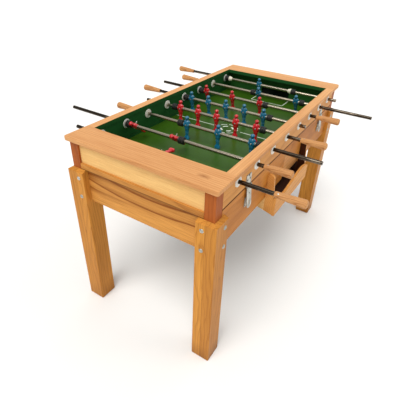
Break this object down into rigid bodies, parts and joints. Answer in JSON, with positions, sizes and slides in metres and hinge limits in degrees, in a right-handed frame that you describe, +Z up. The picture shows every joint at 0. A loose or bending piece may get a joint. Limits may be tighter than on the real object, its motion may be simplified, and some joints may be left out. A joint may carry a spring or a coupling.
{
  "type": "foosball table",
  "caption": "Wooden foosball table on square legs: sliding, spinning rods of players over a green pitch, a ball tray in front, and a top box that tilts up on rear hinges.",
  "frame": {"origin": "on the floor under the middle of the table's box", "axes": "+X along the table from its near end, +Y across it to the back side, +Z up; the ball tray and the hasps are at -Y"},
  "size_m": [1.413, 1.271, 0.88],
  "materials": {
    "leg_wood": "clear satin lacquer over solid wood staves",
    "board_wood": "clear satin lacquer, cathedral grain",
    "rim_wood": "clear satin lacquer, straight grain",
    "handle_wood": "turned and lacquered",
    "plywood": "raw plywood",
    "green_field": "green laminate with white lines",
    "green_wall": "dark green laminate",
    "rod_steel": "drawn steel",
    "zinc_steel": "zinc plate",
    "red_plastic": "moulded, glossy",
    "blue_plastic": "moulded, glossy",
    "black_rubber": "ribbed, matte",
    "cream_plastic": "moulded"
  },
  "bodies": {
    "base": {"ball_runway": "plywood", "chute_access_panel": "plywood", "end_aprons": "board_wood", "hasp_staples": "zinc_steel", "leg_bolts": "zinc_steel", "legs_back": "leg_wood", "legs_front": "leg_wood", "playfield": "green_field", "rear_hinge_lower_leaves": "zinc_steel", "side_board_back": "board_wood", "side_board_front": "board_wood", "tray_end_walls": "board_wood", "tray_floor_and_cheeks": "plywood", "tray_front": "board_wood"},
    "top_box": {"rim_boards": "rim_wood", "corner_posts": "board_wood", "end_panels": "board_wood", "end_rails": "board_wood", "rod_rail_back": "board_wood", "rod_rail_front": "board_wood", "rod_bushings": "cream_plastic", "goal_walls": "green_wall", "hasp_leaves": "zinc_steel", "rear_hinge_upper_leaves": "zinc_steel"},
    "hasp_near": {"hasp_strap_near": "zinc_steel"},
    "hasp_far": {"hasp_strap_far": "zinc_steel"},
    "rod_1_carriage": {"rod_1_bumpers": "black_rubber"},
    "rod_1": {"rod_1_shaft": "rod_steel", "rod_1_men": "red_plastic", "rod_1_handle": "handle_wood", "rod_1_cones": "cream_plastic"},
    "rod_2_carriage": {"rod_2_bumpers": "black_rubber"},
    "rod_2": {"rod_2_shaft": "rod_steel", "rod_2_men": "red_plastic", "rod_2_handle": "handle_wood"},
    "rod_3_carriage": {"rod_3_bumpers": "black_rubber"},
    "rod_3": {"rod_3_shaft": "rod_steel", "rod_3_men": "blue_plastic", "rod_3_handle": "handle_wood"},
    "rod_4_carriage": {"rod_4_bumpers": "black_rubber"},
    "rod_4": {"rod_4_shaft": "rod_steel", "rod_4_men": "red_plastic", "rod_4_handle": "handle_wood"},
    "rod_5_carriage": {"rod_5_bumpers": "black_rubber"},
    "rod_5": {"rod_5_shaft": "rod_steel", "rod_5_men": "blue_plastic", "rod_5_handle": "handle_wood"},
    "rod_6_carriage": {"rod_6_bumpers": "black_rubber"},
    "rod_6": {"rod_6_shaft": "rod_steel", "rod_6_men": "red_plastic", "rod_6_handle": "handle_wood"},
    "rod_7_carriage": {"rod_7_bumpers": "black_rubber"},
    "rod_7": {"rod_7_shaft": "rod_steel", "rod_7_men": "blue_plastic", "rod_7_handle": "handle_wood"},
    "rod_8_carriage": {"rod_8_bumpers": "black_rubber"},
    "rod_8": {"rod_8_shaft": "rod_steel", "rod_8_men": "blue_plastic", "rod_8_handle": "handle_wood", "rod_8_cones": "cream_plastic"}
  },
  "joints": [
    {"name": "top_box_tilt", "type": "hinge", "parent": "base", "child": "top_box", "pos_m": [0, 0.342, 0.7695], "axis": [-1, 0, 0], "range_deg": [0, 40]},
    {"name": "hasp_near_swing", "type": "hinge", "parent": "top_box", "child": "hasp_near", "pos_m": [-0.444, -0.342, 0.772], "axis": [-1, 0, 0], "range_deg": [-4.7, 135]},
    {"name": "hasp_far_swing", "type": "hinge", "parent": "top_box", "child": "hasp_far", "pos_m": [0.444, -0.342, 0.772], "axis": [-1, 0, 0], "range_deg": [-4.7, 135]},
    {"name": "rod_1_slide", "type": "slide", "parent": "top_box", "child": "rod_1_carriage", "axis": [0, 1, 0], "range_m": [-0.075, 0.083]},
    {"name": "rod_1_spin", "type": "hinge", "parent": "rod_1_carriage", "child": "rod_1", "pos_m": [-0.5355, 0, 0.8345], "axis": [0, 1, 0], "range_deg": [-120, 185]},
    {"name": "rod_2_slide", "type": "slide", "parent": "top_box", "child": "rod_2_carriage", "axis": [0, 1, 0], "range_m": [-0.304, 0]},
    {"name": "rod_2_spin", "type": "hinge", "parent": "rod_2_carriage", "child": "rod_2", "pos_m": [-0.3825, 0, 0.8345], "axis": [0, 1, 0], "continuous": true},
    {"name": "rod_3_slide", "type": "slide", "parent": "top_box", "child": "rod_3_carriage", "axis": [0, 1, 0], "range_m": [-0.0195, 0.1775]},
    {"name": "rod_3_spin", "type": "hinge", "parent": "rod_3_carriage", "child": "rod_3", "pos_m": [-0.2295, 0, 0.8345], "axis": [0, 1, 0], "continuous": true},
    {"name": "rod_4_slide", "type": "slide", "parent": "top_box", "child": "rod_4_carriage", "axis": [0, 1, 0], "range_m": [-0.072, 0.034]},
    {"name": "rod_4_spin", "type": "hinge", "parent": "rod_4_carriage", "child": "rod_4", "pos_m": [-0.0765, 0, 0.8345], "axis": [0, 1, 0], "continuous": true},
    {"name": "rod_5_slide", "type": "slide", "parent": "top_box", "child": "rod_5_carriage", "axis": [0, 1, 0], "range_m": [-0.106, 0]},
    {"name": "rod_5_spin", "type": "hinge", "parent": "rod_5_carriage", "child": "rod_5", "pos_m": [0.0765, 0, 0.8345], "axis": [0, 1, 0], "continuous": true},
    {"name": "rod_6_slide", "type": "slide", "parent": "top_box", "child": "rod_6_carriage", "axis": [0, 1, 0], "range_m": [-0.197, 0]},
    {"name": "rod_6_spin", "type": "hinge", "parent": "rod_6_carriage", "child": "rod_6", "pos_m": [0.2295, 0, 0.8345], "axis": [0, 1, 0], "continuous": true},
    {"name": "rod_7_slide", "type": "slide", "parent": "top_box", "child": "rod_7_carriage", "axis": [0, 1, 0], "range_m": [-0.052, 0.252]},
    {"name": "rod_7_spin", "type": "hinge", "parent": "rod_7_carriage", "child": "rod_7", "pos_m": [0.3825, 0, 0.8345], "axis": [0, 1, 0], "continuous": true},
    {"name": "rod_8_slide", "type": "slide", "parent": "top_box", "child": "rod_8_carriage", "axis": [0, 1, 0], "range_m": [-0.158, 0]},
    {"name": "rod_8_spin", "type": "hinge", "parent": "rod_8_carriage", "child": "rod_8", "pos_m": [0.5355, 0, 0.8345], "axis": [0, 1, 0], "range_deg": [-90, 215]}
  ]
}
